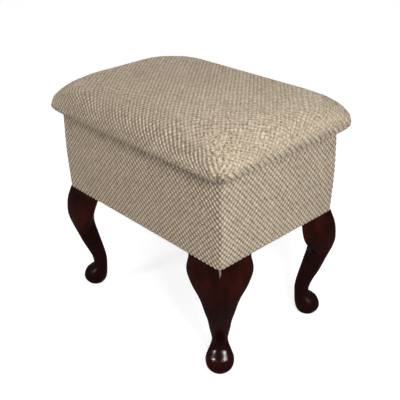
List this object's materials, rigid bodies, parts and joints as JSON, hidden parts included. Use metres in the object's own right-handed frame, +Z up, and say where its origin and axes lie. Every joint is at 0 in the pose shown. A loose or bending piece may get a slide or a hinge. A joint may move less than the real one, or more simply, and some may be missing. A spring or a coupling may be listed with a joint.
{
  "type": "storage stool",
  "caption": "Upholstered storage stool: fabric-covered box with a hinged padded lid, on dark cabriole legs with pad feet.",
  "frame": {"origin": "on the floor, under the middle of the box", "axes": "+Z up, X along the long sides of the box, the front long side faces -Y and the hinges are on +Y"},
  "size_m": [0.449, 0.315, 0.445],
  "materials": {
    "cover_fabric": "chunky beige chenille with slanting rows of nubs",
    "lining_cloth": "plain woven cream lining cloth on board",
    "dust_cloth": "black spun-bonded bottoming cloth",
    "leg_wood": "dark mahogany stain under gloss lacquer",
    "plywood": "bare birch plywood",
    "foam": "upholstery foam",
    "brass_plated_steel": "bright brass plating",
    "zinc_plated_steel": "bright zinc plating"
  },
  "bodies": {
    "box": {"box_cover": "cover_fabric", "front_lining": "lining_cloth", "back_lining": "lining_cloth", "left_lining": "lining_cloth", "right_lining": "lining_cloth", "base_lining": "lining_cloth", "dust_cover": "dust_cloth", "front_right_leg": "leg_wood", "back_right_leg": "leg_wood", "back_left_leg": "leg_wood", "front_left_leg": "leg_wood", "front_right_knee_blocks": "leg_wood", "back_right_knee_blocks": "leg_wood", "back_left_knee_blocks": "leg_wood", "front_left_knee_blocks": "leg_wood", "front_panel": "plywood", "back_panel": "plywood", "left_panel": "plywood", "right_panel": "plywood", "base_panel": "plywood", "left_hinge_box_leaf": "brass_plated_steel", "left_hinge_pin": "brass_plated_steel", "right_hinge_box_leaf": "brass_plated_steel", "right_hinge_pin": "brass_plated_steel", "box_leaf_screws": "brass_plated_steel", "carcass_screws": "zinc_plated_steel", "leg_bolts": "zinc_plated_steel", "tee_nuts": "zinc_plated_steel"},
    "lid": {"lid_board": "plywood", "lid_foam": "foam", "lid_cover": "cover_fabric", "lid_lining": "lining_cloth", "left_hinge_lid_leaf": "brass_plated_steel", "right_hinge_lid_leaf": "brass_plated_steel", "lid_leaf_screws": "brass_plated_steel"}
  },
  "joints": [
    {"name": "lid_hinge", "type": "hinge", "parent": "box", "child": "lid", "pos_m": [0, 0.1403, 0.37775], "axis": [-1, 0, 0], "range_deg": [0, 94]}
  ]
}
